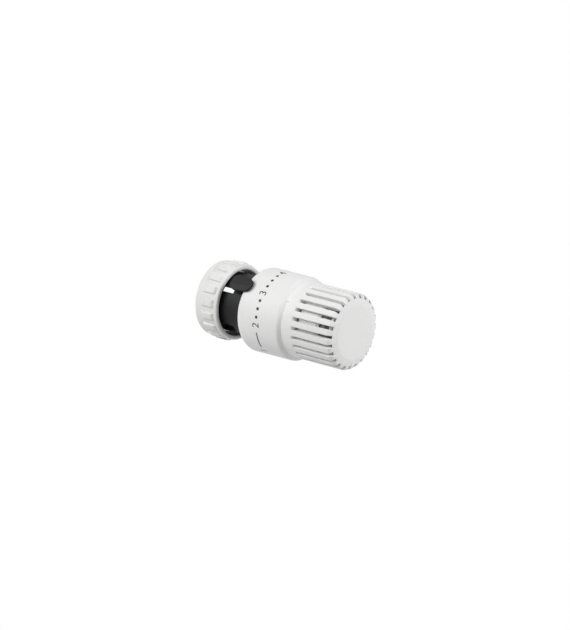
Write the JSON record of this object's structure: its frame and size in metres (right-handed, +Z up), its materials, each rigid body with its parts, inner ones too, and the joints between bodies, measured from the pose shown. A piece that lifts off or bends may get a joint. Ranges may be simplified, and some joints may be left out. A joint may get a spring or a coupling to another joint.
{
  "type": "thermostatic radiator valve head",
  "caption": "Thermostat head for a radiator valve: grip union nut, black base with a setting pointer, and a white hand wheel with a slotted cage round a liquid sensor.",
  "frame": {"origin": "centre of the union nut's rear face, where the head meets the valve", "axes": "+X along the head's axis from the valve to the closed end, +Z up with the pointer 43 degrees from it towards -Y"},
  "size_m": [0.0882, 0.043, 0.043],
  "materials": {
    "white_moulding": "satin white ABS",
    "white_nut_sleeve": "satin white ABS",
    "black_moulding": "satin black, glass-filled",
    "nickelled_brass": "nickel plated, turned",
    "brass": "plain, turned",
    "spring_steel": "drawn",
    "white_resin": "moulded",
    "sleeve_resin": "moulded",
    "dark_can": "dark grey"
  },
  "bodies": {
    "base": {"base_socket": "black_moulding", "pin_guide_plate": "black_moulding", "pin_guide_bush": "brass", "nut_snap_ring": "spring_steel"},
    "nut": {"nut_sleeve": "white_nut_sleeve", "nut_insert": "nickelled_brass"},
    "carrier": {"sensor_carrier": "white_resin", "sensor_lock_ring": "white_resin", "sensor_can": "dark_can", "sensor_rear_ring": "brass", "bellows": "brass", "fill_plug": "brass", "front_spacer": "white_resin"},
    "wheel": {"hand_wheel": "white_moulding", "drive_sleeve": "sleeve_resin", "carrier_snap_ring": "spring_steel"},
    "pusher": {"spring_cup": "white_resin", "bellows_plate": "brass", "pin_clip": "spring_steel", "overtravel_spring": "spring_steel"},
    "pin": {"pressure_pin": "white_resin"}
  },
  "joints": [
    {"name": "nut_spin", "type": "hinge", "parent": "base", "child": "nut", "pos_m": [0, 0, 0], "axis": [1, 0, 0], "continuous": true},
    {"name": "carrier_travel", "type": "slide", "parent": "base", "child": "carrier", "axis": [1, 0, 0], "range_m": [-0.00307, 0.00171]},
    {"name": "wheel_turn", "type": "hinge", "parent": "carrier", "child": "wheel", "pos_m": [0.0292, 0, 0], "axis": [1, 0, 0], "range_deg": [-158, 88]},
    {"name": "sensor_stroke", "type": "slide", "parent": "carrier", "child": "pusher", "axis": [1, 0, 0], "range_m": [-0.0025, 0], "stiffness_N_per_m": 300, "deforming": ["bellows"]},
    {"name": "overtravel", "type": "slide", "parent": "pusher", "child": "pin", "axis": [1, 0, 0], "range_m": [0, 0.003], "stiffness_N_per_m": 80, "springref_m": -0.005, "deforming": ["overtravel_spring"]}
  ],
  "couplings": [
    {"joint": "wheel_turn", "follows": "carrier_travel", "rad_per_m": 897.6}
  ]
}
